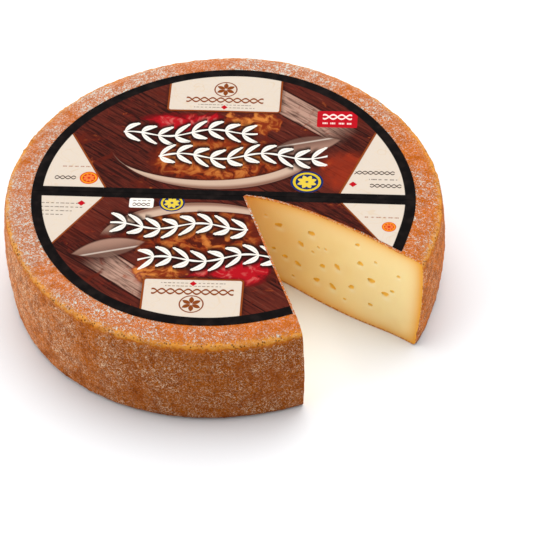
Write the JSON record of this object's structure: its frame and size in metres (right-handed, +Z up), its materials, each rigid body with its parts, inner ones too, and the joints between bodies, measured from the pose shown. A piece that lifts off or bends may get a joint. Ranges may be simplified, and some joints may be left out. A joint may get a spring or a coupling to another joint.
{
  "type": "raclette cheese wheel with one wedge cut out",
  "caption": "Low round cheese wheel with a washed rind, a wedge-shaped notch whose cut faces show small eyes, and a printed paper label on its flat top.",
  "frame": {"origin": "centre of the base, on the surface that the wheel rests on", "axes": "+Z up through the wheel's thickness, +X along the seam between the label's halves, the notch opens between +X and -Y"},
  "size_m": [0.3112, 0.3103, 0.0723],
  "materials": {
    "cheese": "orange-brown washed rind with pale bloom, and smooth ivory to golden paste on the cut faces",
    "label_paper": "satin printed paper, dark brown and cream with a black border"
  },
  "bodies": {
    "root": {"cheese_wheel": "cheese", "label_back": "label_paper", "label_front_left": "label_paper", "label_front_right": "label_paper"}
  },
  "joints": []
}
